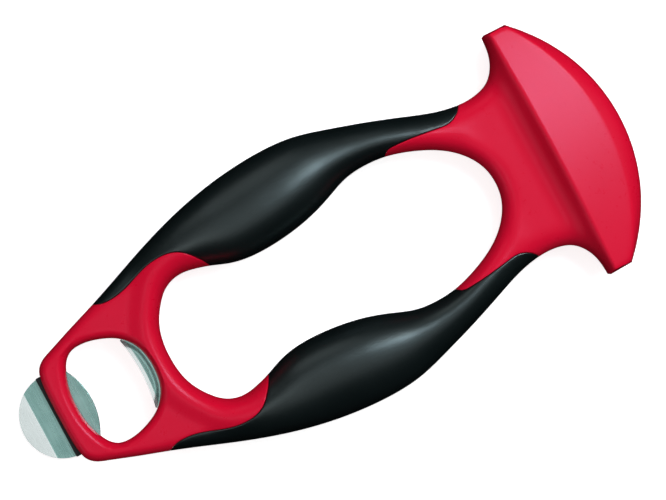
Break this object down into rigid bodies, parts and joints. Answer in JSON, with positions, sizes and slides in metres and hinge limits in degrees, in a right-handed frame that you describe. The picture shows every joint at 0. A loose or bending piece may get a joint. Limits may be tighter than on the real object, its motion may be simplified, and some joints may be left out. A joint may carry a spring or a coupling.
{
  "type": "manual can opener",
  "caption": "Hand-held multi-opener: steel blade at the tip, crown-cap hole, waisted lid opening between soft-grip arms, and a T-shaped palm handle.",
  "frame": {"origin": "centre of the object's box in plan, on the surface that it lies on, which touches the rear half", "axes": "+X along the tool from the blade's tip to the T head, +Y to the left grip, +Z out of the front half"},
  "size_m": [0.2194, 0.09, 0.0262],
  "materials": {
    "body_red": "satin moulded plastic with a fine grain",
    "grip_black": "smooth satin thermoplastic rubber",
    "blade_steel": "stainless steel ground across its length",
    "seal_black": "matt rubber",
    "screw_steel": "zinc-plated steel"
  },
  "bodies": {
    "root": {"front_shell": "body_red", "rear_shell": "body_red", "left_grip_front": "grip_black", "left_grip_rear": "grip_black", "right_grip_front": "grip_black", "right_grip_rear": "grip_black", "pry_blade": "blade_steel", "cap_rest_lip": "blade_steel", "blade_seal": "seal_black", "left_tip_screw": "screw_steel", "right_tip_screw": "screw_steel", "left_bridge_screw": "screw_steel", "right_bridge_screw": "screw_steel", "left_neck_screw": "screw_steel", "right_neck_screw": "screw_steel", "left_head_screw": "screw_steel", "right_head_screw": "screw_steel", "left_tip_plug": "body_red", "right_tip_plug": "body_red", "left_bridge_plug": "body_red", "right_bridge_plug": "body_red", "left_neck_plug": "body_red", "right_neck_plug": "body_red", "left_head_plug": "body_red", "right_head_plug": "body_red"}
  },
  "joints": []
}
